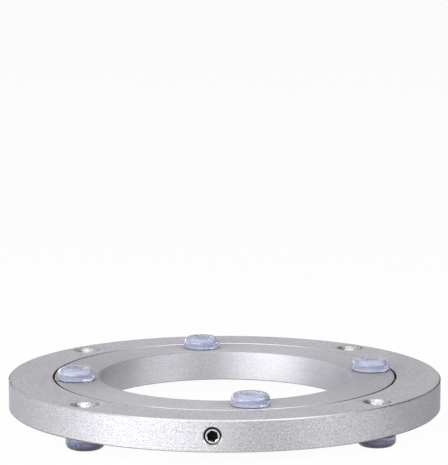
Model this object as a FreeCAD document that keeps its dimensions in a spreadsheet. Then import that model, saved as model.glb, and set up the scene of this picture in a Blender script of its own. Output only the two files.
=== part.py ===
import FreeCAD, Part
import Sketcher
import math
import os

# Turntable bearing: an outer ring on four rubber feet carries an inner ring on a row of steel balls,
# kept apart by a chain of loose plastic links. Millimetres, +Z up, origin on the floor under the middle.

# Driving sizes. Every other length in the model is worked out from these.
SIZES = [
    ("ball_circle_diameter", 95.0, "circle that the ball centres run on"),
    ("outer_land_width", 12.25, "outer ring's top face, gap to rim, for 120 across"),
    ("inner_land_width", 12.25, "inner ring's top face, bore to gap, for a bore of 70"),
    ("ring_thickness", 8.5, "height of both rings"),
    ("edge_chamfer", 0.3, "chamfer on the rim's and the bore's edges"),
    ("top_gap", 0.5, "gap between the rings at the top"),
    ("cage_gap", 2.2, "wider gap below it, which holds the cage"),
    ("lip_thickness", 1.5, "height of the narrow part of the gap"),
    ("ball_diameter", 4.0, "steel ball"),
    ("race_clearance", 0.05, "between a ball and the flanks of both races"),
    ("link_clearance", 0.05, "between a cage link and the walls round it"),
    ("link_end_gap", 0.3, "between one cage link and the next"),
    ("link_recess", 0.15, "depth of the links' feet below the underside"),
    ("window_clearance", 0.2, "between a ball and each leg of its link"),
    ("roof_clearance", 0.1, "between a ball and its link's bridge"),
    ("window_corner", 0.9, "cut corners of the window under the bridge"),
    ("screw_hole_diameter", 3.8, "mounting screw's hole"),
    ("countersink_diameter", 7.4, "mouth of the countersink"),
    ("outer_hole_shift", 0.625, "outer holes, outwards from the middle of the land"),
    ("inner_hole_shift", 0.375, "inner holes, outwards from the middle of the land"),
    ("pad_diameter", 10.4, "rubber foot or bumper"),
    ("pad_height", 3.3, "how far a pad stands off its ring"),
    ("pad_bevel", 0.7, "round-off at a pad's free edge"),
    ("pad_recess_diameter", 5.2, "round recess in a pad's free face"),
    ("pad_recess_depth", 0.6, "depth of that recess"),
    ("grub_diameter", 5.0, "screw that closes the ball filling hole"),
    ("grub_clearance", 0.05, "between it and its hole"),
    ("grub_depth", 0.4, "its face below the rim"),
    ("grub_ball_gap", 0.1, "between its flat point and a passing ball"),
    ("grub_bevel", 0.4, "bevel round its face"),
    ("hex_across_flats", 2.5, "its key socket"),
    ("hex_depth", 2.5, "depth of the key socket"),
    ("foot_angle", 47.6, "first outer hole and foot, degrees from +X"),
    ("bumper_angle", 9.4, "first inner hole and bumper, degrees from +X"),
    ("filling_angle", -93.0, "ball filling hole, degrees from +X"),
]
PAD_COUNT = 4
LINK_COUNT = 24
BALL_BANDS = 5
BALL_MERIDIANS = 10

document = FreeCAD.newDocument("turntable_bearing")
sheet = document.addObject("Spreadsheet::Sheet", "Sizes")
for row, (alias, value, meaning) in enumerate(SIZES, start=1):
    sheet.set("A%d" % row, meaning)
    sheet.set("B%d" % row, str(value))
    sheet.setAlias("B%d" % row, alias)
document.recompute()

# Radii and heights shared by several pieces, as expressions on the sheet.
# Heights are from the underside of the rings.
GAP_OUTSIDE = "(Sizes.ball_circle_diameter + Sizes.top_gap) / 2"
GAP_INSIDE = "(Sizes.ball_circle_diameter - Sizes.top_gap) / 2"
CAGE_OUTSIDE = "(Sizes.ball_circle_diameter + Sizes.cage_gap) / 2"
CAGE_INSIDE = "(Sizes.ball_circle_diameter - Sizes.cage_gap) / 2"
RIM = GAP_OUTSIDE + " + Sizes.outer_land_width"
BORE = GAP_INSIDE + " - Sizes.inner_land_width"
OUTER_HOLE = GAP_OUTSIDE + " + Sizes.outer_land_width / 2 + Sizes.outer_hole_shift"
INNER_HOLE = GAP_INSIDE + " - Sizes.inner_land_width / 2 + Sizes.inner_hole_shift"
TOP = "Sizes.ring_thickness"
MIDDLE = "Sizes.ring_thickness / 2"
LIP = "Sizes.ring_thickness - Sizes.lip_thickness"
RACE_REACH = "(Sizes.ball_diameter / 2 + Sizes.race_clearance) * sqrt(2)"
RACE_HALF = RACE_REACH + " - Sizes.cage_gap / 2"
UP = FreeCAD.Vector(0, 0, 1)


def size(alias):
    return float(sheet.get(alias))


def origin_feature(body, role):
    return next(f for f in body.Origin.OriginFeatures if f.Role == role)


def new_sketch(body, name, role):
    sketch = body.newObject("Sketcher::SketchObject", name)
    sketch.AttachmentSupport = [(origin_feature(body, role), "")]
    sketch.MapMode = "FlatFace"
    return sketch


def place_corner(sketch, line, kind, expression):
    """Ties the start of a line to the sketch's origin. A leading minus puts it on the negative side."""
    axis = {"DistanceX": -2, "DistanceY": -1}[kind]
    if expression == "0":
        sketch.addConstraint(Sketcher.Constraint("PointOnObject", line, 1, axis))
        return
    start = sketch.Geometry[line].StartPoint
    rough = abs(start.x if kind == "DistanceX" else start.y)
    if expression.startswith("-"):
        constraint = Sketcher.Constraint(kind, line, 1, -1, 1, rough)
        expression = expression[1:]
    else:
        constraint = Sketcher.Constraint(kind, -1, 1, line, 1, rough)
    index = sketch.addConstraint(constraint)
    sketch.setExpression("Constraints[%d]" % index, expression)


def draw_outline(sketch, corners):
    """A closed outline of straight lines, each corner given by two expressions."""
    count = len(corners)
    rough = []
    for i in range(count):
        turn = 2 * math.pi * (i + 0.5) / count
        rough.append(FreeCAD.Vector(50 + 10 * math.cos(turn), 50 + 10 * math.sin(turn), 0))
    for i in range(count):
        sketch.addGeometry(Part.LineSegment(rough[i], rough[(i + 1) % count]), False)
    for i in range(count):
        sketch.addConstraint(Sketcher.Constraint("Coincident", i, 2, (i + 1) % count, 1))
    for i, (across, along) in enumerate(corners):
        place_corner(sketch, i, "DistanceX", across)
        place_corner(sketch, i, "DistanceY", along)


def revolve(body, name, corners):
    """A turned solid about the body's Z axis, from half its section."""
    sketch = new_sketch(body, name + "_section", "XZ_Plane")
    draw_outline(sketch, corners)
    turned = body.newObject("PartDesign::Revolution", name)
    turned.Profile = sketch
    turned.ReferenceAxis = (sketch, ["V_Axis"])
    turned.Angle = 360
    body.Tip = turned
    document.recompute()


def make_sure_it_cut(body, volume_before, what):
    if body.Shape.Volume > volume_before - 0.1:
        raise ValueError("%s removed nothing" % what)


def bore_screw_holes(body, circle, corners):
    """One screw hole as a turned cut about its own axis, then copied round the ring."""
    volume_before = body.Shape.Volume
    sketch = new_sketch(body, body.Name + "_hole_section", "XZ_Plane")
    sketch.setExpression("AttachmentOffset.Base.x", circle)
    draw_outline(sketch, corners)
    hole = body.newObject("PartDesign::Groove", body.Name + "_hole")
    hole.Profile = sketch
    hole.ReferenceAxis = (sketch, ["V_Axis"])
    hole.Angle = 360
    body.Tip = hole
    document.recompute()
    one_hole = volume_before - body.Shape.Volume
    pattern = body.newObject("PartDesign::PolarPattern", body.Name + "_holes")
    pattern.Originals = [hole]
    pattern.Axis = (origin_feature(body, "Z_Axis"), [""])
    pattern.Angle = 360
    pattern.Occurrences = PAD_COUNT
    body.Tip = pattern
    document.recompute()
    make_sure_it_cut(body, volume_before - (PAD_COUNT - 1) * one_hole, body.Name + " holes")


# Outer ring. Turned aluminium: half of a V race faces inwards, under a lip that closes the gap.
# Its screw holes are countersunk from above, and a foot covers each at its lower end.
outer_ring = document.addObject("PartDesign::Body", "outer_ring")
revolve(outer_ring, "outer_ring_turned", [
    (CAGE_OUTSIDE, "0"),
    (RIM + " - Sizes.edge_chamfer", "0"),
    (RIM, "Sizes.edge_chamfer"),
    (RIM, TOP + " - Sizes.edge_chamfer"),
    (RIM + " - Sizes.edge_chamfer", TOP),
    (GAP_OUTSIDE, TOP),
    (GAP_OUTSIDE, LIP),
    (CAGE_OUTSIDE, LIP),
    (CAGE_OUTSIDE, MIDDLE + " + " + RACE_HALF),
    ("Sizes.ball_circle_diameter / 2 + " + RACE_REACH, MIDDLE),
    (CAGE_OUTSIDE, MIDDLE + " - (" + RACE_HALF + ")"),
])
HOLE_RADIUS = "Sizes.screw_hole_diameter / 2"
SINK_RADIUS = "Sizes.countersink_diameter / 2"
SINK_DEPTH = "(Sizes.countersink_diameter - Sizes.screw_hole_diameter) / 2"
bore_screw_holes(outer_ring, OUTER_HOLE, [
    ("0", "0"),
    (HOLE_RADIUS, "0"),
    (HOLE_RADIUS, TOP + " - " + SINK_DEPTH),
    (SINK_RADIUS, TOP),
    ("0", TOP),
])

# Ball filling hole: drilled through the rim into the race, on one side only.
filling_sketch = new_sketch(outer_ring, "filling_hole_circle", "YZ_Plane")
filling_sketch.AttachmentOffset = FreeCAD.Placement(
    FreeCAD.Vector(0, 0, 0), FreeCAD.Rotation(FreeCAD.Vector(0, 1, 0), 1))
filling_sketch.setExpression(
    "AttachmentOffset.Rotation.Angle", "(Sizes.filling_angle - Sizes.foot_angle + 360) * 1 deg")
filling_sketch.addGeometry(Part.Circle(FreeCAD.Vector(0, 4, 0), UP, 2), False)
filling_sketch.addConstraint(Sketcher.Constraint("PointOnObject", 0, 3, -2))
height = filling_sketch.addConstraint(Sketcher.Constraint("DistanceY", -1, 1, 0, 3, 4))
filling_sketch.setExpression("Constraints[%d]" % height, MIDDLE)
radius = filling_sketch.addConstraint(Sketcher.Constraint("Radius", 0, 2))
filling_sketch.setExpression(
    "Constraints[%d]" % radius, "Sizes.grub_diameter / 2 + Sizes.grub_clearance")
volume_undrilled = outer_ring.Shape.Volume
filling_hole = outer_ring.newObject("PartDesign::Pocket", "filling_hole")
filling_hole.Profile = filling_sketch
filling_hole.Type = 1
filling_hole.Reversed = True
outer_ring.Tip = filling_hole
document.recompute()
make_sure_it_cut(outer_ring, volume_undrilled, "the filling hole")
outer_ring.Placement = FreeCAD.Placement(FreeCAD.Vector(0, 0, 0), FreeCAD.Rotation(UP, 1))
outer_ring.setExpression("Placement.Base.z", "Sizes.pad_height")
outer_ring.setExpression("Placement.Rotation.Angle", "Sizes.foot_angle * 1 deg")

# Inner ring. The other half of the race faces outwards. Its screw holes are countersunk from below,
# and a bumper covers each at its upper end.
inner_ring = document.addObject("PartDesign::Body", "inner_ring")
revolve(inner_ring, "inner_ring_turned", [
    (CAGE_INSIDE, "0"),
    (CAGE_INSIDE, MIDDLE + " - (" + RACE_HALF + ")"),
    ("Sizes.ball_circle_diameter / 2 - " + RACE_REACH, MIDDLE),
    (CAGE_INSIDE, MIDDLE + " + " + RACE_HALF),
    (CAGE_INSIDE, LIP),
    (GAP_INSIDE, LIP),
    (GAP_INSIDE, TOP),
    (BORE + " + Sizes.edge_chamfer", TOP),
    (BORE, TOP + " - Sizes.edge_chamfer"),
    (BORE, "Sizes.edge_chamfer"),
    (BORE + " + Sizes.edge_chamfer", "0"),
])
bore_screw_holes(inner_ring, INNER_HOLE, [
    ("0", "0"),
    (SINK_RADIUS, "0"),
    (HOLE_RADIUS, SINK_DEPTH),
    (HOLE_RADIUS, TOP),
    ("0", TOP),
])
inner_ring.Placement = FreeCAD.Placement(FreeCAD.Vector(0, 0, 0), FreeCAD.Rotation(UP, 1))
inner_ring.setExpression("Placement.Base.z", "Sizes.pad_height")
inner_ring.setExpression("Placement.Rotation.Angle", "Sizes.bumper_angle * 1 deg")

# Grub screw in the filling hole: headless, with a bevelled face, a hexagon key socket and a flat point
# that closes the race just behind the balls. It is built along Z from its point, then laid in the hole.
GRUB_POINT = "(Sizes.ball_circle_diameter / 2 + Sizes.ball_diameter / 2 + Sizes.grub_ball_gap)"
GRUB_LENGTH = RIM + " - Sizes.grub_depth - " + GRUB_POINT
shank = document.addObject("Part::Cylinder", "grub_shank")
shank.setExpression("Radius", "Sizes.grub_diameter / 2")
shank.setExpression("Height", GRUB_LENGTH + " - Sizes.grub_bevel")
bevel = document.addObject("Part::Cone", "grub_face_bevel")
bevel.setExpression("Radius1", "Sizes.grub_diameter / 2")
bevel.setExpression("Radius2", "Sizes.grub_diameter / 2 - Sizes.grub_bevel")
bevel.setExpression("Height", "Sizes.grub_bevel")
bevel.setExpression("Placement.Base.z", GRUB_LENGTH + " - Sizes.grub_bevel")
blank = document.addObject("Part::Fuse", "grub_blank")
blank.Base = shank
blank.Tool = bevel
key_socket = document.addObject("Part::Prism", "grub_key_socket")
key_socket.Polygon = 6
key_socket.setExpression("Circumradius", "Sizes.hex_across_flats / sqrt(3)")
key_socket.setExpression("Height", "Sizes.hex_depth")
key_socket.setExpression("Placement.Base.z", GRUB_LENGTH + " - Sizes.hex_depth")
grub_screw = document.addObject("Part::Cut", "grub_screw")
grub_screw.Base = blank
grub_screw.Tool = key_socket
grub_screw.Placement = FreeCAD.Placement(
    FreeCAD.Vector(0, 0, 0),
    FreeCAD.Rotation(UP, size("filling_angle")) * FreeCAD.Rotation(FreeCAD.Vector(0, 1, 0), 90))
grub_screw.setExpression("Placement.Base.x", GRUB_POINT + " * cos(Sizes.filling_angle * 1 deg)")
grub_screw.setExpression("Placement.Base.y", GRUB_POINT + " * sin(Sizes.filling_angle * 1 deg)")
grub_screw.setExpression("Placement.Base.z", "Sizes.pad_height + " + MIDDLE)

# Rubber pad: one moulding serves as foot and as bumper. Its face against the ring is at Z = 0.
pad_moulding = document.addObject("PartDesign::Body", "pad_moulding")
revolve(pad_moulding, "pad_turned", [
    ("0", "0"),
    ("Sizes.pad_diameter / 2", "0"),
    ("Sizes.pad_diameter / 2", "Sizes.pad_height - Sizes.pad_bevel"),
    ("Sizes.pad_diameter / 2 - Sizes.pad_bevel", "Sizes.pad_height"),
    ("Sizes.pad_recess_diameter / 2", "Sizes.pad_height"),
    ("Sizes.pad_recess_diameter / 2", "Sizes.pad_height - Sizes.pad_recess_depth"),
    ("0", "Sizes.pad_height - Sizes.pad_recess_depth"),
])

# Cage link: two legs and a bridge over the ball, moulded in white plastic. The ball goes in through
# the filling hole after the link, and then holds it, because the bridge lies on it.
LINK_HALF_TURN = "(%s - Sizes.link_end_gap / Sizes.ball_circle_diameter) * 1 rad" % (math.pi / LINK_COUNT)
LINK_OUTSIDE = "(" + CAGE_OUTSIDE + " - Sizes.link_clearance)"
LINK_INSIDE = "((" + CAGE_INSIDE + " + Sizes.link_clearance) / cos(" + LINK_HALF_TURN + " / 2))"
HALF_COS = " * cos(" + LINK_HALF_TURN + ")"
HALF_SIN = " * sin(" + LINK_HALF_TURN + ")"
link_moulding = document.addObject("PartDesign::Body", "link_moulding")
link_plan = new_sketch(link_moulding, "link_plan", "XY_Plane")
link_plan.setExpression("AttachmentOffset.Base.z", "Sizes.link_recess")
draw_outline(link_plan, [
    (LINK_INSIDE, "0"),
    (LINK_INSIDE + HALF_COS, "-" + LINK_INSIDE + HALF_SIN),
    (LINK_OUTSIDE + HALF_COS, "-" + LINK_OUTSIDE + HALF_SIN),
    (LINK_OUTSIDE, "0"),
    (LINK_OUTSIDE + HALF_COS, LINK_OUTSIDE + HALF_SIN),
    (LINK_INSIDE + HALF_COS, LINK_INSIDE + HALF_SIN),
])
link_block = link_moulding.newObject("PartDesign::Pad", "link_block")
link_block.Profile = link_plan
link_block.setExpression("Length", LIP + " - Sizes.link_clearance - Sizes.link_recess")
link_moulding.Tip = link_block
document.recompute()
volume_uncut = link_moulding.Shape.Volume
WINDOW_HALF = "(Sizes.ball_diameter / 2 + Sizes.window_clearance)"
WINDOW_TOP = MIDDLE + " + Sizes.ball_diameter / 2 + Sizes.roof_clearance"
window_sketch = new_sketch(link_moulding, "link_window_outline", "YZ_Plane")
draw_outline(window_sketch, [
    (WINDOW_HALF, "0"),
    (WINDOW_HALF, WINDOW_TOP + " - Sizes.window_corner"),
    (WINDOW_HALF + " - Sizes.window_corner", WINDOW_TOP),
    ("-(" + WINDOW_HALF + " - Sizes.window_corner)", WINDOW_TOP),
    ("-" + WINDOW_HALF, WINDOW_TOP + " - Sizes.window_corner"),
    ("-" + WINDOW_HALF, "0"),
])
link_window = link_moulding.newObject("PartDesign::Pocket", "link_window")
link_window.Profile = window_sketch
link_window.Type = 1
link_window.Reversed = True
link_moulding.Tip = link_window
document.recompute()
make_sure_it_cut(link_moulding, volume_uncut, "the link's window")


def faceted_ball(radius):
    """A ball in flat facets whose corners all lie on the true sphere."""
    rings = []
    for k in range(1, BALL_BANDS):
        latitude = math.pi * (k / BALL_BANDS - 0.5)
        ring = []
        for i in range(BALL_MERIDIANS):
            turn = 2 * math.pi * i / BALL_MERIDIANS
            level = radius * math.cos(latitude)
            ring.append(FreeCAD.Vector(
                level * math.cos(turn), level * math.sin(turn), radius * math.sin(latitude)))
        rings.append(ring)
    outlines = []
    for i in range(BALL_MERIDIANS):
        j = (i + 1) % BALL_MERIDIANS
        outlines.append([UP * -radius, rings[0][j], rings[0][i]])
        outlines.append([UP * radius, rings[-1][i], rings[-1][j]])
        for lower, upper in zip(rings, rings[1:]):
            outlines.append([lower[i], lower[j], upper[j], upper[i]])
    faces = [Part.Face(Part.makePolygon(corners + corners[:1])) for corners in outlines]
    return Part.Solid(Part.Shell(faces))


def place_at(turn, radius=0.0, level=0.0, own=FreeCAD.Rotation()):
    """A place at a radius and level, turned about the bearing's axis."""
    rotation = FreeCAD.Rotation(UP, turn)
    return FreeCAD.Placement(rotation.multVec(FreeCAD.Vector(radius, 0, level)), rotation * own)


def add_piece(name, shape, place):
    piece = document.addObject("Part::Feature", name)
    piece.Shape = shape
    piece.Placement = place
    return piece


def four_pads(radius, own=FreeCAD.Rotation()):
    """The four pads of one ring as separate solids, the first on +X."""
    pads = []
    for i in range(PAD_COUNT):
        pad = pad_moulding.Shape.copy()
        pad.Placement = place_at(i * 360.0 / PAD_COUNT, radius, 0, own)
        pads.append(pad)
    return Part.makeCompound(pads)


# The feet hang under the outer ring, upside down, and the bumpers stand on the inner ring.
underside = size("pad_height")
top_face = underside + size("ring_thickness")
outer_land_middle = (size("ball_circle_diameter") + size("top_gap") + size("outer_land_width")) / 2
inner_land_middle = (size("ball_circle_diameter") - size("top_gap") - size("inner_land_width")) / 2
upside_down = FreeCAD.Rotation(FreeCAD.Vector(1, 0, 0), 180)
rubber_feet = add_piece(
    "rubber_feet",
    four_pads(outer_land_middle + size("outer_hole_shift"), upside_down),
    place_at(size("foot_angle"), 0, underside))
rubber_bumpers = add_piece(
    "rubber_bumpers",
    four_pads(inner_land_middle + size("inner_hole_shift")),
    place_at(size("bumper_angle"), 0, top_face))

# One ball in each link, all round the race.
ball_circle_radius = size("ball_circle_diameter") / 2
ball_level = underside + size("ring_thickness") / 2
ball_shape = faceted_ball(size("ball_diameter") / 2)
cage = []
for i in range(LINK_COUNT):
    turn = i * 360.0 / LINK_COUNT
    number = "%02d" % (i + 1)
    cage.append(add_piece("cage_link_" + number, link_moulding.Shape.copy(), place_at(turn, 0, underside)))
    cage.append(add_piece("ball_" + number, ball_shape.copy(), place_at(turn, ball_circle_radius, ball_level)))

document.recompute()
for thing in document.Objects:
    if "Invalid" in thing.State or "Error" in thing.State:
        raise ValueError("%s failed" % thing.Name)

solids_in = {"rubber_feet": PAD_COUNT, "rubber_bumpers": PAD_COUNT}
os.makedirs("parts", exist_ok=True)
for piece in [outer_ring, inner_ring, grub_screw, rubber_feet, rubber_bumpers] + cage:
    shape = piece.Shape
    if shape.isNull() or not shape.isValid() or len(shape.Solids) != solids_in.get(piece.Label, 1):
        raise ValueError("%s is not made of valid solids" % piece.Label)
    shape.exportStep("parts/%s.step" % piece.Label)
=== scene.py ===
import math
import bpy
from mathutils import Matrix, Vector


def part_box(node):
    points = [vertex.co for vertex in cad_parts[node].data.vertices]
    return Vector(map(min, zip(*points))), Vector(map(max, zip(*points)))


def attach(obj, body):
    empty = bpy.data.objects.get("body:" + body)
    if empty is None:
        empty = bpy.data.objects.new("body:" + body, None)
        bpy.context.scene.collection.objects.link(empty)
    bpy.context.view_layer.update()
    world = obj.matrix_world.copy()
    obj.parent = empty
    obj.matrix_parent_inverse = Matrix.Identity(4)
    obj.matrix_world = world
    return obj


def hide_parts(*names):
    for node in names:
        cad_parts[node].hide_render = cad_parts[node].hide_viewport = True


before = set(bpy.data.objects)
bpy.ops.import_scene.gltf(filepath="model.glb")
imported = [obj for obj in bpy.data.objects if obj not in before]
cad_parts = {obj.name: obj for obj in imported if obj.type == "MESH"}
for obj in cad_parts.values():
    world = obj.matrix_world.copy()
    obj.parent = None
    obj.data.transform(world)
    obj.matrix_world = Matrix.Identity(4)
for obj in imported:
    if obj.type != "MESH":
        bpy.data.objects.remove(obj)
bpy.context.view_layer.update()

# Outer ring. It is turned from aluminium bar, fine blasted and clear anodised, and stands still on its feet.
# It holds the outer half of the ball race under a thin lip. Four countersunk holes take its screws, and a
# tapped one through the rim lets the balls in.
outer_low, outer_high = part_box("outer_ring")
ball_low, ball_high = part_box("ball_01")
underside = outer_low.z
top_face = outer_high.z
middle = (underside + top_face) / 2
rim = -outer_low.x
ball_circle = (ball_low.x + ball_high.x) / 2
ball_radius = (ball_high.z - ball_low.z) / 2
edge_break = 0.0003
gap_edge_break = 0.00012
half_top_gap = 0.00025
half_cage_gap = 0.0011
lip_thickness = 0.0015
lip_underside = top_face - lip_thickness
race_clearance = 0.00005
race_reach = (ball_radius + race_clearance) * math.sqrt(2)
race_half = race_reach - half_cage_gap
gap_outside = ball_circle + half_top_gap
cage_outside = ball_circle + half_cage_gap
hole_count = 4
screw_hole = 0.0019
countersink = 0.0037
mouth_break = 0.0001
outer_hole_circle = 0.0545
foot_turn = math.radians(47.6)
filling_turn = math.radians(-93)
thread_pitch = 0.0008
thread_crest = 0.0025
thread_depth = 0.00043
thread_flank = 0.00025
thread_flat = 0.0001
thread_clearance = 0.00005
spare_turns = 2
mouth_radius = 0.00235
mouth_depth = 0.0009
mouth_bevel = 0.0003
turning_steps = 360
thread_steps = 48
hole_steps = 64
merge_distance = 1e-6
bisect_tolerance = 1e-7
smooth_below = math.radians(30)
wall_normal = 0.5
flat_normal = 0.9
grain_scale = 3600
grain_contrast = 5.0
grain_roughness = 0.1
groove_scale = 2600
groove_share = 0.6
groove_relief = 0.5
cloud_scale = 55
cloud_share = 0.4
skin_blue = 0.02
chatter_scale = 2600
chatter_contrast = 4.0
blast_depth = 0.00005


class Socket:
    """An output in a node tree. Sums, differences and products with it add their Math nodes."""

    def __init__(self, tree, link=None):
        self.tree = tree
        self.link = link

    def add(self, kind, settings, inputs, output=0):
        """A new node with these settings and inputs, which are values or sockets."""
        node = self.tree.nodes.new("ShaderNode" + kind)
        for setting, value in settings.items():
            setattr(node, setting, value)
        for place, value in inputs.items():
            if isinstance(value, Socket):
                self.tree.links.new(value.link, node.inputs[place])
            else:
                node.inputs[place].default_value = value
        return Socket(self.tree, node.outputs[output] if node.outputs else None)

    def beside(self, output):
        """Another output of the same node."""
        return Socket(self.tree, self.link.node.outputs[output])

    def math(self, operation, *others):
        """A Math node whose first input is this socket."""
        return self.add("Math", {"operation": operation}, dict(enumerate((self, *others))))

    def __add__(self, other):
        return self.math("ADD", other)

    def __sub__(self, other):
        return self.math("SUBTRACT", other)

    def __rsub__(self, other):
        return self.add("Math", {"operation": "SUBTRACT"}, {0: other, 1: self})

    def __mul__(self, other):
        return self.math("MULTIPLY", other)

    __radd__ = __add__
    __rmul__ = __mul__


def new_finish(name):
    """An empty material, and the start of its node tree."""
    material = bpy.data.materials.new(name)
    material.use_nodes = True
    material.node_tree.nodes.clear()
    return material, Socket(material.node_tree)


def colour_between(surface, mask, first, second):
    """A mask's run from one colour to another."""
    return surface.add("Mix", {"data_type": "RGBA"}, {
        "Factor": mask, "A": (*first, 1), "B": (*second, 1)}, "Result")


def blasted_aluminium(name, tone, grit, roughness, anisotropy, edge_tint):
    """Aluminium with fine turning grooves under a blasted grain and a clear anodised skin."""
    material, surface = new_finish(name)
    place = surface.add("TexCoord", {}, {}, "Object")
    grain = surface.add("TexNoise", {}, {
        "Vector": place, "Scale": grain_scale, "Detail": 2.0, "Roughness": 0.6}, "Fac")
    cloud = surface.add("TexNoise", {}, {"Vector": place, "Scale": cloud_scale, "Detail": 3.0}, "Fac")
    x = surface.add("SeparateXYZ", {}, {"Vector": place}, "X")
    y = x.beside("Y")
    height = x.beside("Z")
    radius = (x * x + y * y).math("SQRT")
    groove = surface.add("TexNoise", {"noise_dimensions": "1D"}, {
        "W": radius + height, "Scale": groove_scale, "Detail": 2.0}, "Fac")
    shade = (grain - 0.5) * (grain_contrast * grit) + groove * groove_share + cloud * cloud_share
    dark = [tone * part for part in (0.315, 0.309, 0.330)]
    pale = [tone * part for part in (0.495, 0.486, 0.516)]
    colour = colour_between(surface, shade, dark, pale)
    bump = surface.add("Bump", {}, {
        "Strength": 0.8 * grit, "Distance": blast_depth, "Height": grain + groove * groove_relief}, "Normal")
    shader = surface.add("BsdfPrincipled", {}, {
        "Base Color": colour, "Metallic": 1.0, "Roughness": roughness + grain_roughness * grain,
        "Normal": bump, "Specular Tint": (edge_tint, edge_tint, edge_tint + skin_blue, 1),
        "Anisotropic": anisotropy, "Anisotropic Rotation": 0.25}, "BSDF")
    surface.add("OutputMaterial", {}, {"Surface": shader})
    return material


def mottled_finish(name, scale, detail, colours, roughness, others, contrast=1.0, bump=None):
    """A finish of one noise between two colours and two roughnesses, which may raise the surface too."""
    material, surface = new_finish(name)
    place = surface.add("TexCoord", {}, {}, "Object")
    noise = surface.add("TexNoise", {}, {"Vector": place, "Scale": scale, "Detail": detail}, "Fac")
    smoothest, roughest = roughness
    inputs = {
        "Base Color": colour_between(surface, (noise - 0.5) * contrast + 0.5, *colours),
        "Roughness": smoothest + (roughest - smoothest) * noise,
        **others,
    }
    if bump:
        strength, distance = bump
        inputs["Normal"] = surface.add("Bump", {}, {
            "Strength": strength, "Distance": distance, "Height": noise}, "Normal")
    shader = surface.add("BsdfPrincipled", {}, inputs, "BSDF")
    surface.add("OutputMaterial", {}, {"Surface": shader})
    return material


turned_aluminium = blasted_aluminium(
    "blasted_aluminium", tone=1.0, grit=1.0, roughness=0.45, anisotropy=0.5, edge_tint=0.6)
# The flat faces' colour is toned darker than the walls' (tone below 1): painted shade on the faces.
faced_aluminium = blasted_aluminium(
    "faced_aluminium", tone=0.88, grit=1.0, roughness=0.7, anisotropy=0.12, edge_tint=0.7)
countersunk_aluminium = mottled_finish(
    "countersunk_aluminium", scale=chatter_scale, detail=3.0, contrast=chatter_contrast,
    colours=((0.24, 0.24, 0.25), (0.62, 0.61, 0.63)), roughness=(0.28, 0.38), bump=(1.0, blast_depth),
    others={"Metallic": 1.0, "Specular Tint": (0.3, 0.3, 0.3, 1)})
edge_aluminium = mottled_finish(
    "edge_aluminium", scale=chatter_scale, detail=3.0, contrast=chatter_contrast,
    colours=((0.46, 0.46, 0.47), (0.56, 0.56, 0.57)), roughness=(0.28, 0.38), bump=(0.2, blast_depth),
    others={"Metallic": 1.0, "Specular Tint": (0, 0, 0, 1)})
# Near-black aluminium: painted shade inside the deep race gap and on the filling hole's thread.
gap_shade_aluminium = mottled_finish(
    "gap_shade_aluminium", scale=600, detail=2.0,
    colours=((0.010, 0.010, 0.011), (0.030, 0.030, 0.032)), roughness=(0.35, 0.55),
    others={"Metallic": 0.5})


def pick(piece):
    """Makes a piece the only one selected."""
    bpy.ops.object.select_all(action="DESELECT")
    piece.select_set(True)
    bpy.context.view_layer.objects.active = piece


def put(piece, tilt=0.0, about=0.0, place=(0, 0, 0)):
    """Tilts a piece about Y, turns it about Z and moves it, all in its mesh."""
    pick(piece)
    piece.rotation_euler = (0, tilt, about)
    piece.location = place
    bpy.ops.object.transform_apply(location=True, rotation=True, scale=True)


def turn(name, section, steps, closed, finish):
    """A turned shape round the Z axis: a circle is extruded from corner to corner of half its section."""
    bpy.ops.object.select_all(action="DESELECT")
    radius, height = section[0]
    bpy.ops.mesh.primitive_circle_add(
        vertices=steps, radius=radius, fill_type="NOTHING" if closed else "NGON", location=(0, 0, height))
    piece = bpy.context.active_object
    piece.name = name
    bpy.ops.object.mode_set(mode="EDIT")
    way_back = section[:1] if closed else []
    for last, corner in zip(section, section[1:] + way_back):
        growth = corner[0] / last[0]
        bpy.ops.mesh.extrude_region_move(TRANSFORM_OT_translate={"value": (0, 0, corner[1] - last[1])})
        bpy.ops.transform.resize(value=(growth, growth, 1), center_override=(0, 0, 0))
    bpy.ops.mesh.select_all(action="SELECT")
    bpy.ops.mesh.remove_doubles(threshold=merge_distance)
    bpy.ops.mesh.normals_make_consistent(inside=False)
    bpy.ops.object.mode_set(mode="OBJECT")
    piece.data.materials.append(finish)
    put(piece, place=(0, 0, height))
    return piece


def copy_round(piece, count, names):
    """Copies of a piece, evenly spaced round the bearing, each with its own mesh."""
    copies = []
    for number in range(1, count):
        pick(piece)
        bpy.ops.object.duplicate()
        copy = bpy.context.active_object
        copy.name = names % (number + 1)
        put(copy, about=math.tau * number / count)
        copies.append(copy)
    piece.name = names % 1
    return [piece, *copies]


def join(pieces):
    """Makes one piece of several."""
    pick(pieces[0])
    for piece in pieces:
        piece.select_set(True)
    bpy.ops.object.join()
    return pieces[0]


def apply_modifier(piece, kind, **settings):
    """Adds a modifier with these settings and applies it."""
    modifier = piece.modifiers.new("step", kind)
    for setting, value in settings.items():
        setattr(modifier, setting, value)
    pick(piece)
    bpy.ops.object.modifier_apply(modifier=modifier.name)


def cut(piece, cutter):
    """Takes a cutter's shape out of a piece. The cut faces keep the cutter's finish."""
    apply_modifier(
        piece, "BOOLEAN", operation="DIFFERENCE", solver="EXACT", material_mode="TRANSFER", object=cutter)
    bpy.data.objects.remove(cutter)


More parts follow.
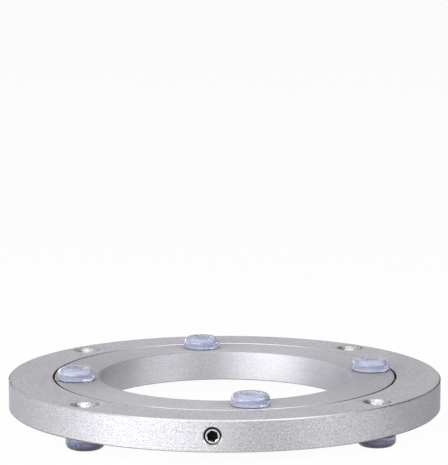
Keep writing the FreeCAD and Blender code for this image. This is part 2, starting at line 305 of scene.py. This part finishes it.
def dress_ring(ring, flat_finish):
    """Flat faces get a finish of their own, the gap and race a near-black painted shade, and the lips and
    the rim a bright edge.
    """
    for finish in (flat_finish, gap_shade_aluminium, edge_aluminium):
        ring.data.materials.append(finish)
    flat, gap_shade, edge = range(len(ring.data.materials))[-3:]
    for face in ring.data.polygons:
        from_balls = abs(face.center.xy.length - ball_circle)
        facing_up = abs(face.normal.z)
        in_gap = from_balls < race_reach and (
            abs(face.center.z - middle) < top_face - middle - gap_edge_break)
        at_lip = from_balls < half_top_gap + gap_edge_break and face.center.z > middle
        at_rim = face.center.xy.length > rim - edge_break
        if in_gap:
            face.material_index = gap_shade
        elif wall_normal < facing_up < flat_normal and (at_lip or at_rim):
            face.material_index = edge
        elif facing_up > wall_normal and face.material_index == 0:
            face.material_index = flat


def finish_piece(piece, body, node):
    """Smooth shading between its true edges, and its place in the frame."""
    pick(piece)
    bpy.ops.object.shade_smooth_by_angle(angle=smooth_below)
    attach(piece, body)
    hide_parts(node)


def screw_holes(mouth, far_side, circle, first_turn):
    """Cutter for a ring's four holes, countersunk on the side of the mouth."""
    inwards = 1 if far_side > mouth else -1
    section = [
        (screw_hole, far_side + inwards * edge_break),
        (screw_hole, mouth + inwards * (countersink - screw_hole)),
        (countersink, mouth + inwards * mouth_break),
        (countersink + 2 * mouth_break, mouth),
        (countersink + 3 * mouth_break, mouth - inwards * mouth_break),
    ]
    one = turn("screw_hole", section, hole_steps, False, countersunk_aluminium)
    put(one, about=first_turn, place=(circle * math.cos(first_turn), circle * math.sin(first_turn), 0))
    return join(copy_round(one, hole_count, "screw_hole_%d"))


def threaded_rod(name, clearance, low, high, finish):
    """A rod with a V thread along Z: one turn of its section is swept as a screw and cut at both ends."""
    crest = thread_crest + clearance
    turns = math.ceil((high - low) / thread_pitch) + spare_turns
    root_flat = thread_pitch - 2 * thread_flank - thread_flat
    bpy.ops.object.select_all(action="DESELECT")
    bpy.ops.mesh.primitive_plane_add(
        size=thread_depth, location=(crest - thread_depth, 0, rim - turns * thread_pitch))
    rod = bpy.context.active_object
    rod.name = name
    bpy.ops.object.mode_set(mode="EDIT")
    bpy.ops.mesh.select_mode(type="VERT")
    bpy.ops.mesh.merge(type="CENTER")
    for outwards, upwards in (
            (thread_depth, thread_flank), (0, thread_flat), (-thread_depth, thread_flank), (0, root_flat)):
        bpy.ops.mesh.extrude_region_move(TRANSFORM_OT_translate={"value": (outwards, 0, upwards)})
    bpy.ops.object.mode_set(mode="OBJECT")
    put(rod, place=rod.location.copy())
    apply_modifier(
        rod, "SCREW", angle=math.tau, screw_offset=thread_pitch, iterations=turns, steps=thread_steps,
        render_steps=thread_steps, use_merge_vertices=True)
    bpy.ops.object.mode_set(mode="EDIT")
    bpy.ops.mesh.select_all(action="SELECT")
    bpy.ops.mesh.remove_doubles(threshold=merge_distance)
    for end, side in ((low, -1), (high, 1)):
        bpy.ops.mesh.select_all(action="SELECT")
        bpy.ops.mesh.bisect(
            plane_co=(0, 0, end), plane_no=(0, 0, side), use_fill=True, clear_outer=True,
            threshold=bisect_tolerance)
    bpy.ops.mesh.select_all(action="SELECT")
    bpy.ops.mesh.normals_make_consistent(inside=False)
    bpy.ops.object.mode_set(mode="OBJECT")
    rod.data.materials.clear()
    rod.data.materials.append(finish)
    return rod


outer_ring = turn("turned_outer_ring", [
    (cage_outside, underside + gap_edge_break),
    (cage_outside + gap_edge_break, underside),
    (rim - edge_break, underside),
    (rim, underside + edge_break),
    (rim, top_face - edge_break),
    (rim - edge_break, top_face),
    (gap_outside + gap_edge_break, top_face),
    (gap_outside, top_face - gap_edge_break),
    (gap_outside, lip_underside),
    (cage_outside, lip_underside),
    (cage_outside, middle + race_half),
    (ball_circle + race_reach, middle),
    (cage_outside, middle - race_half),
], turning_steps, True, turned_aluminium)
cut(outer_ring, screw_holes(top_face, underside, outer_hole_circle, foot_turn))
# The filling hole's thread takes the gap's near-black painted shade.
filling_hole = threaded_rod(
    "filling_hole", thread_clearance, ball_circle, rim - thread_pitch / 2, gap_shade_aluminium)
filling_mouth = turn("filling_mouth", [
    (mouth_radius, rim - mouth_depth),
    (mouth_radius, rim - mouth_bevel),
    (mouth_radius + 2 * mouth_bevel, rim + mouth_bevel),
], hole_steps, False, edge_aluminium)
for cutter in (filling_hole, filling_mouth):
    put(cutter, tilt=math.pi / 2, about=filling_turn, place=(0, 0, middle))
    cut(outer_ring, cutter)
dress_ring(outer_ring, faced_aluminium)
finish_piece(outer_ring, "base", "outer_ring")

# Inner ring. It is turned and finished like the outer one and carries the other half of the race. It turns
# with the plate that rests on its bumpers. The screws of that plate come up from below, so its countersinks
# are on the underside.
gap_inside = ball_circle - half_top_gap
cage_inside = ball_circle - half_cage_gap
bore = 0.035
inner_hole_circle = 0.0415
bumper_turn = math.radians(9.4)
inner_aluminium = blasted_aluminium(
    "inner_aluminium", tone=1.0, grit=0.45, roughness=0.45, anisotropy=0.5, edge_tint=0.85)
# The inner ring's flat faces are toned darker too (tone below 1): painted shade on the faces.
inner_faced_aluminium = blasted_aluminium(
    "inner_faced_aluminium", tone=0.87, grit=0.45, roughness=0.7, anisotropy=0.3, edge_tint=0.7)

inner_ring = turn("turned_inner_ring", [
    (bore, underside + edge_break),
    (bore, top_face - edge_break),
    (bore + edge_break, top_face),
    (gap_inside - gap_edge_break, top_face),
    (gap_inside, top_face - gap_edge_break),
    (gap_inside, lip_underside),
    (cage_inside, lip_underside),
    (cage_inside, middle + race_half),
    (ball_circle - race_reach, middle),
    (cage_inside, middle - race_half),
    (cage_inside, underside + gap_edge_break),
    (cage_inside - gap_edge_break, underside),
    (bore + edge_break, underside),
], turning_steps, True, inner_aluminium)
cut(inner_ring, screw_holes(underside, top_face, inner_hole_circle, bumper_turn))
dress_ring(inner_ring, inner_faced_aluminium)
finish_piece(inner_ring, "turntable", "inner_ring")

# Balls. Twenty-four hardened and lapped steel balls run in the race, one in each link of the cage.
# They stay mirror bright under a film of oil.
ball_count = 24
lapped_steel = mottled_finish(
    "lapped_steel", scale=900, detail=4.0, colours=((0.52, 0.52, 0.53), (0.60, 0.60, 0.61)),
    roughness=(0.06, 0.14), others={"Metallic": 1.0, "Coat Weight": 0.3, "Coat Roughness": 0.1})

bpy.ops.object.select_all(action="DESELECT")
bpy.ops.mesh.primitive_ico_sphere_add(subdivisions=4, radius=ball_radius, location=(ball_circle, 0, middle))
ball = bpy.context.active_object
ball.data.materials.append(lapped_steel)
put(ball, place=ball.location.copy())
for number, ball in enumerate(copy_round(ball, ball_count, "steel_ball_%02d"), start=1):
    finish_piece(ball, "cage", "ball_%02d" % number)

# Cage links. Each is moulded in natural white nylon: two legs and a bridge over one ball. The links push
# one another round the race, so they lie end to end with a fine joint, and nothing fixes them.
link_low, link_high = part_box("cage_link_01")
link_clearance = 0.00005
link_inside = cage_inside + link_clearance
link_outside = cage_outside - link_clearance
link_half_turn = math.atan2(link_high.y, link_high.x)
link_edge = 0.00016
window_clearance = 0.0002
roof_clearance = 0.0001
window_half = ball_radius + window_clearance
window_low = (link_inside - window_half, -window_half, underside - window_half)
window_high = (link_outside + window_half, window_half, middle + ball_radius + roof_clearance)
window_corner = 0.0009

natural_nylon, surface = new_finish("natural_nylon")
place = surface.add("TexCoord", {}, {}, "Object")
flow = surface.add("TexNoise", {}, {"Vector": place, "Scale": 700, "Detail": 3.0}, "Fac")
pores = surface.add("TexNoise", {}, {"Vector": place, "Scale": 9000, "Detail": 1.0}, "Fac")
nylon_colour = colour_between(surface, flow, (0.80, 0.80, 0.77), (0.87, 0.87, 0.85))
bump = surface.add("Bump", {}, {"Strength": 0.3, "Distance": 0.00001, "Height": pores}, "Normal")
shader = surface.add("BsdfPrincipled", {}, {
    "Base Color": nylon_colour, "Roughness": 0.42 + 0.12 * flow, "Normal": bump,
    "Subsurface Weight": 0.2, "Subsurface Scale": 0.0006}, "BSDF")
surface.add("OutputMaterial", {}, {"Surface": shader})

bpy.ops.object.select_all(action="DESELECT")
bpy.ops.mesh.primitive_plane_add(
    size=1, location=((link_inside + link_outside) / 2, 0, (link_low.z + link_high.z) / 2),
    rotation=(math.pi / 2, 0, 0))
link = bpy.context.active_object
link.scale = (link_outside - link_inside, link_high.z - link_low.z, 1)
bpy.ops.object.transform_apply(location=True, rotation=True, scale=True)
link.data.materials.append(natural_nylon)
put(link, about=-link_half_turn)
bpy.ops.object.mode_set(mode="EDIT")
bpy.ops.mesh.select_all(action="SELECT")
bpy.ops.mesh.spin(steps=12, angle=2 * link_half_turn, center=(0, 0, 0), axis=(0, 0, 1))
bpy.ops.mesh.select_all(action="SELECT")
bpy.ops.mesh.remove_doubles(threshold=merge_distance)
bpy.ops.mesh.normals_make_consistent(inside=False)
bpy.ops.object.mode_set(mode="OBJECT")

bpy.ops.object.select_all(action="DESELECT")
bpy.ops.mesh.primitive_cube_add(size=1, location=[(a + b) / 2 for a, b in zip(window_low, window_high)])
window = bpy.context.active_object
window.name = "window"
window.scale = [b - a for a, b in zip(window_low, window_high)]
bpy.ops.object.transform_apply(location=True, rotation=True, scale=True)
window.data.materials.append(natural_nylon)
bpy.ops.object.mode_set(mode="EDIT")
bpy.ops.mesh.select_mode(type="EDGE")
bpy.ops.mesh.select_all(action="DESELECT")
bpy.ops.object.mode_set(mode="OBJECT")
for edge in window.data.edges:
    ends = [window.data.vertices[v].co for v in edge.vertices]
    runs_across = abs(ends[0].x - ends[1].x) > window_half
    edge.select = runs_across and ends[0].z > middle
bpy.ops.object.mode_set(mode="EDIT")
bpy.ops.mesh.bevel(offset=window_corner, offset_type="OFFSET", segments=4)
bpy.ops.object.mode_set(mode="OBJECT")
cut(link, window)
apply_modifier(
    link, "BEVEL", width=link_edge, segments=2, limit_method="ANGLE", angle_limit=math.radians(40))
for number, link in enumerate(copy_round(link, ball_count, "spacer_link_%02d"), start=1):
    finish_piece(link, "cage", "cage_link_%02d" % number)

# Grub screw. It closes the filling hole once the balls are in: black oiled steel with a face ground bright,
# and a broached hexagon socket whose bottom is painted near-black as shade. It is turned along Z, then laid
# in its hole.
grub_ball_gap = 0.0001
grub_sunk = 0.0004
grub_point = ball_circle + ball_radius + grub_ball_gap
grub_face = rim - grub_sunk
grub_bevel = 0.00065
point_bevel = 0.0003
socket_sides = 6
socket_circle = 0.0016
socket_depth = 0.0025
socket_turn = math.radians(43)
socket_mouth = 0.0015
lead_in_width = 0.0003
lead_in_depth = 0.00018
scale_depth = 0.00001
oiled_black_steel = mottled_finish(
    "oiled_black_steel", scale=3500, detail=3.0, colours=((0.012, 0.012, 0.014), (0.035, 0.035, 0.038)),
    roughness=(0.34, 0.46), bump=(0.3, scale_depth), others={"Metallic": 0.9})
ground_steel = mottled_finish(
    "ground_steel", scale=4000, detail=3.0, colours=((0.42, 0.42, 0.43), (0.62, 0.62, 0.63)),
    roughness=(0.28, 0.40), bump=(0.3, scale_depth), others={"Metallic": 1.0})
broached_steel = mottled_finish(
    "broached_steel", scale=3000, detail=2.0, colours=((0.16, 0.16, 0.165), (0.40, 0.40, 0.41)),
    roughness=(0.3, 0.5), others={"Metallic": 1.0})
# Near-black finish for the socket's bottom: painted shade deep in the socket.
painted_socket_shade = mottled_finish(
    "painted_socket_shade", scale=2000, detail=2.0, colours=((0.001, 0.001, 0.001), (0.004, 0.004, 0.004)),
    roughness=(0.4, 0.6), others={"Specular IOR Level": 0.1})

screw = threaded_rod("set_screw", 0, grub_point - point_bevel, grub_face + point_bevel, oiled_black_steel)
envelope = turn("grub_envelope", [
    (thread_crest - point_bevel, grub_point),
    (thread_crest + point_bevel, grub_point + 2 * point_bevel),
    (thread_crest + point_bevel, grub_face - grub_bevel - point_bevel),
    (thread_crest - grub_bevel, grub_face),
], hole_steps, False, oiled_black_steel)
apply_modifier(
    screw, "BOOLEAN", operation="INTERSECT", solver="EXACT", material_mode="TRANSFER", object=envelope)
bpy.data.objects.remove(envelope)
socket = turn("key_socket", [
    (socket_circle, grub_face - socket_depth),
    (socket_circle, grub_face + socket_depth),
], socket_sides, False, broached_steel)
put(socket, about=socket_turn)
cut(screw, socket)
lead_in = turn("socket_lead_in", [
    (socket_mouth - lead_in_width, grub_face - lead_in_depth),
    (socket_mouth, grub_face),
    (socket_mouth + lead_in_width, grub_face + lead_in_depth),
], hole_steps, False, ground_steel)
cut(screw, lead_in)
for finish in (ground_steel, painted_socket_shade):
    screw.data.materials.append(finish)
ground, socket_shade = range(len(screw.data.materials))[-2:]
for face in screw.data.polygons:
    if face.normal.z > flat_normal and face.center.z > grub_face - grub_bevel / 2:
        face.material_index = ground
    # The socket's bottom gets the painted shade.
    elif face.normal.z > flat_normal and face.center.xy.length < socket_circle:
        face.material_index = socket_shade
put(screw, tilt=math.pi / 2, about=filling_turn, place=(0, 0, middle))
finish_piece(screw, "base", "grub_screw")

# Feet and bumpers. One moulding of clear blue-tinted rubber serves as both: a low round pad with a rolled
# edge, a shallow recess and a small nipple in it. A pad is stuck over the plain end of each screw hole. The
# feet get a darker copy of the rubber as painted shade under the ring, more painted shade darkens them
# towards the floor, and each pad's seat is painted near-black as a contact shadow.
pad_radius = 0.0052
pad_height = underside
pad_roll = 0.0016
pad_undercut = 0.0001
seat_lift = 0.00001
seat_height = 0.0003
recess_radius = 0.0027
recess_depth = 0.0007
recess_round = 0.0002
nipple_radius = 0.0007
nipple_height = 0.00035
nipple_shoulder = 0.6
nipple_crown = 0.5
roll_steps = 8
pad_steps = 96
# Between these heights a foot's colour is painted darker towards the floor, as shade.
floor_shade_low = 0.0004
floor_shade_high = 0.00165
floor_shade_colour = (0.03, 0.03, 0.05)


def clear_rubber(name, deep, pale):
    """Clear tinted rubber, a little cloudy inside and glossy outside, with painted shade darkening it close
    to the floor.
    """
    material, surface = new_finish(name)
    place = surface.add("TexCoord", {}, {}, "Object")
    cloud = surface.add("TexNoise", {}, {"Vector": place, "Scale": 260, "Detail": 2.0}, "Fac")
    skin = surface.add("TexNoise", {}, {"Vector": place, "Scale": 2400, "Detail": 2.0}, "Fac")
    tint = colour_between(surface, cloud, deep, pale)
    height = surface.add("SeparateXYZ", {}, {"Vector": place}, "Z")
    # Painted shade: the colour runs to near-black towards the floor.
    above_floor_shade = (height - floor_shade_low) * (1 / (floor_shade_high - floor_shade_low))
    floor_shade = 1 - above_floor_shade.math("MINIMUM", 1.0).math("MAXIMUM", 0.0)
    colour = surface.add("Mix", {"data_type": "RGBA"}, {
        "Factor": floor_shade, "A": tint, "B": (*floor_shade_colour, 1)}, "Result")
    shader = surface.add("BsdfPrincipled", {}, {
        "Base Color": colour, "Roughness": 0.12 + 0.06 * skin, "IOR": 1.42,
        "Subsurface Weight": 1.0, "Subsurface Radius": (1.0, 1.0, 1.2), "Subsurface Scale": 0.002,
        "Transmission Weight": 0.66}, "BSDF")
    surface.add("OutputMaterial", {}, {"Surface": shader})
    return material


bumper_rubber = clear_rubber("bumper_rubber", (0.54, 0.56, 0.73), (0.67, 0.69, 0.85))
# The feet's copy is darker than the bumpers' one: painted shade under the ring.
foot_rubber = clear_rubber("foot_rubber", (0.26, 0.27, 0.42), (0.38, 0.39, 0.54))
# Near-black rubber for each pad's seat: a painted contact shadow.
contact_shadow_rubber = clear_rubber("contact_shadow_rubber", (0.06, 0.065, 0.11), (0.10, 0.11, 0.17))


def rubber_pad(name, finish):
    """One pad standing on Z = 0, its free face up and its seat painted dark as a contact shadow."""
    roll = [
        (pad_radius - pad_roll * (1 - math.cos(t)), pad_height - pad_roll * (1 - math.sin(t)))
        for t in (math.pi / 2 * step / roll_steps for step in range(roll_steps + 1))]
    recess_floor = pad_height - recess_depth
    section = [
        (pad_radius - pad_undercut, seat_lift),
        (pad_radius, seat_height),
        *roll,
        (recess_radius + recess_round, pad_height),
        (recess_radius, pad_height - recess_round),
        (recess_radius - recess_round, recess_floor),
        (nipple_radius + recess_round, recess_floor),
        (nipple_radius, recess_floor + nipple_height * nipple_shoulder),
        (nipple_radius * nipple_crown, recess_floor + nipple_height),
    ]
    pad = turn(name, section, pad_steps, False, finish)
    pad.data.materials.append(contact_shadow_rubber)
    # Faces below the seat height get the painted contact shadow.
    for face in pad.data.polygons:
        face.material_index = int(face.center.z < seat_height)
    return pad


foot = rubber_pad("foot", foot_rubber)
put(foot, tilt=math.pi, place=(outer_hole_circle, 0, underside))
put(foot, about=foot_turn)
for foot in copy_round(foot, hole_count, "foot_%d"):
    finish_piece(foot, "base", "rubber_feet")
bumper = rubber_pad("bumper", bumper_rubber)
put(bumper, place=(inner_hole_circle, 0, top_face))
put(bumper, about=bumper_turn)
for bumper in copy_round(bumper, hole_count, "bumper_%d"):
    finish_piece(bumper, "turntable", "rubber_bumpers")

# Floor. A plain matt sweep, much wider than the picture. The camera and the reflections see it almost as
# pure white, and the little of its matt paint that is left in keeps a faint shadow of the bearing.
white_share = 0.96
bpy.ops.object.select_all(action="DESELECT")
bpy.ops.mesh.primitive_plane_add(size=14, location=(0, 0, 0))
floor = bpy.context.active_object
floor.name = "floor"
pale_floor, surface = new_finish("pale_floor")
rays = surface.add("LightPath", {}, {}, "Is Camera Ray")
seen = rays + rays.beside("Is Glossy Ray") + rays.beside("Is Transmission Ray")
matt = surface.add("BsdfDiffuse", {}, {"Color": (0.8, 0.8, 0.8, 1)})
white = surface.add("Emission", {}, {"Color": (1, 1, 1, 1), "Strength": 1.0})
shader = surface.add("MixShader", {}, {0: seen.math("MINIMUM", 1.0) * white_share, 1: matt, 2: white})
surface.add("OutputMaterial", {}, {"Surface": shader})
floor.data.materials.append(pale_floor)

# Light. The room is white for the camera and the reflections, and five soft boxes light the bearing: a broad
# one overhead, a strong one at the front left, which makes the bright band on the rim, one at the right, and
# two weak ones at the left.
box_distance = 0.9
world = bpy.data.worlds.new("studio")
world.use_nodes = True
world.node_tree.nodes.clear()
bpy.context.scene.world = world
room = Socket(world.node_tree)
rays = room.add("LightPath", {}, {}, "Is Camera Ray")
seen = rays + rays.beside("Is Glossy Ray") + rays.beside("Is Transmission Ray")
dim = room.add("Background", {}, {"Color": (1, 1, 1, 1), "Strength": 0.05})
bright = room.add("Background", {}, {"Color": (1, 1, 1, 1), "Strength": 1.0})
sky = room.add("MixShader", {}, {0: seen.math("MINIMUM", 1.0), 1: dim, 2: bright})
room.add("OutputWorld", {}, {"Surface": sky})


def soft_box(name, azimuth, elevation, width, height, radiance):
    """A lamp that faces the bearing, given by what it sends out from each point of its face."""
    lamp = bpy.data.lights.new(name, "AREA")
    lamp.shape = "RECTANGLE"
    lamp.size = width
    lamp.size_y = height
    lamp.energy = radiance * math.pi * width * height
    box = bpy.data.objects.new(name, lamp)
    bpy.context.collection.objects.link(box)
    about = math.radians(azimuth)
    above = math.radians(elevation)
    box.location = (
        box_distance * math.cos(above) * math.cos(about), box_distance * math.cos(above) * math.sin(about),
        middle + box_distance * math.sin(above))
    box.rotation_euler = (math.pi / 2 - above, 0, about + math.pi / 2)
    box.visible_camera = False


soft_box("overhead_box", azimuth=-90, elevation=86, width=1.0, height=0.3, radiance=2.4)
soft_box("front_left_box", azimuth=-128.5, elevation=18, width=1.11, height=0.38, radiance=8.4)
soft_box("right_box", azimuth=-27, elevation=24, width=0.8, height=0.32, radiance=6.9)
soft_box("left_box", azimuth=197, elevation=8, width=1.0, height=0.32, radiance=2.3)
soft_box("back_left_box", azimuth=139, elevation=8, width=1.0, height=0.32, radiance=2.3)

# Flags. Two matt black cards stand out of the picture: a low one at the right, which darkens the right of
# the rim, and a high one behind it, which the rim's upper edge mirrors as a dark line.
black_card, surface = new_finish("black_card")
matt = surface.add("BsdfDiffuse", {}, {"Color": (0.05, 0.05, 0.05, 1)})
surface.add("OutputMaterial", {}, {"Surface": matt})


def black_flag(name, azimuth, distance, width, low, high):
    """An upright card that faces the bearing."""
    about = math.radians(azimuth)
    bpy.ops.object.select_all(action="DESELECT")
    bpy.ops.mesh.primitive_plane_add(
        size=1, location=(distance * math.cos(about), distance * math.sin(about), (low + high) / 2),
        rotation=(math.pi / 2, 0, about + math.pi / 2))
    flag = bpy.context.active_object
    flag.name = name
    flag.scale = (width, high - low, 1)
    flag.data.materials.append(black_card)
    flag.visible_camera = False


black_flag("low_flag", azimuth=-8, distance=1.0, width=1.15, low=0, high=0.4)
black_flag("high_flag", azimuth=34, distance=1.2, width=0.9, low=0.55, high=1.6)

# Camera. It stands where the photograph was taken from, a little above the bearing, and has a long lens. It
# looks over the bearing, so that this lies low in the picture, as in the photograph.
camera_distance = 0.7135
camera_elevation = math.radians(11.594)
camera_tilt = math.radians(81.925)
camera_pan = math.radians(0.0145)
camera_data = bpy.data.cameras.new("camera")
camera_data.sensor_width = 36
camera_data.lens = 197.65
camera = bpy.data.objects.new("camera", camera_data)
bpy.context.collection.objects.link(camera)
camera.location = (
    0, -camera_distance * math.cos(camera_elevation), middle + camera_distance * math.sin(camera_elevation))
camera.rotation_euler = (camera_tilt, 0, camera_pan)
bpy.context.scene.camera = camera

bpy.context.scene.view_settings.view_transform = "Standard"
